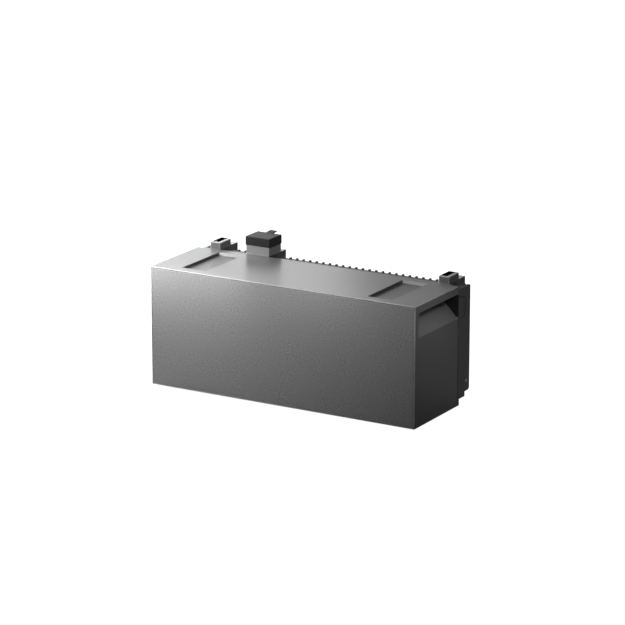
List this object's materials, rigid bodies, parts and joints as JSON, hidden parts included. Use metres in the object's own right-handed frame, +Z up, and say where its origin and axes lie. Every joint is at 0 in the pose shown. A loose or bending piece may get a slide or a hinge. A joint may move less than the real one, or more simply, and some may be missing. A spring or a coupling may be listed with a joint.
{
  "type": "home battery expansion module",
  "caption": "Stackable home battery expansion module: a flat grey box with side lifting grips, a finned rear housing, two stacking guides and a capped pass-through connector",
  "frame": {"origin": "centre of the footprint, at the underside of the stacking feet", "axes": "X runs across the width to the right seen from the front, Y runs from the front panel to the rear housing, Z is up"},
  "size_m": [0.67, 0.281, 0.3199],
  "materials": {
    "panel_paint": "satin fine-texture grey powder coat",
    "cover_paint": "semi-gloss light grey coat",
    "side_paint": "satin dark grey coat",
    "cast_paint": "matte dark grey coated die casting",
    "black_rubber": "matte black rubber",
    "cap_rubber": "satin black rubber",
    "zinc_steel": "zinc plated steel",
    "plug_plastic": "matte dark grey plastic",
    "black_plastic": "matte black moulded plastic",
    "grey_plastic": "matte grey moulded plastic",
    "contact_brass": "plated contact metal",
    "cell_can": "blue film over a drawn can",
    "spacer_sheet": "off-white insulating sheet",
    "bare_aluminium": "bare aluminium",
    "board_green": "green circuit board"
  },
  "bodies": {
    "root": {"front_panel": "panel_paint", "top_cover": "cover_paint", "left_side_cover": "side_paint", "right_side_cover": "side_paint", "bottom_tray": "side_paint", "stacking_feet": "black_rubber", "foot_screws": "zinc_steel", "tray_screws": "zinc_steel", "rear_frame": "zinc_steel", "rear_gasket": "black_rubber", "rear_housing": "cast_paint", "rear_screws": "zinc_steel", "side_plugs": "plug_plastic", "earth_screws": "zinc_steel", "breather_vent": "black_plastic", "left_guide_socket": "grey_plastic", "right_guide_socket": "grey_plastic", "guide_liners": "black_plastic", "guide_screws": "zinc_steel", "guide_pins": "grey_plastic", "connector_base": "grey_plastic", "contact_block": "black_plastic", "power_contacts": "contact_brass", "signal_contacts": "contact_brass", "connector_cap": "cap_rubber", "bottom_plug": "black_plastic", "plug_contacts": "contact_brass", "battery_cells": "cell_can", "cell_spacers": "spacer_sheet", "end_plates": "bare_aluminium", "pack_straps": "zinc_steel", "base_pad": "black_rubber", "pack_brackets": "zinc_steel", "cell_busbars": "contact_brass", "sense_board": "board_green", "sense_ribbon": "grey_plastic", "heat_spreader": "bare_aluminium", "thermal_pad": "black_rubber", "power_switches": "black_plastic", "power_board": "board_green", "inductors": "contact_brass", "capacitors": "black_plastic", "bms_board": "board_green", "board_standoffs": "zinc_steel", "board_screws": "zinc_steel", "contactor": "black_plastic", "main_fuse": "grey_plastic", "pack_leads": "contact_brass", "board_bars": "contact_brass", "output_bars": "contact_brass"}
  },
  "joints": []
}
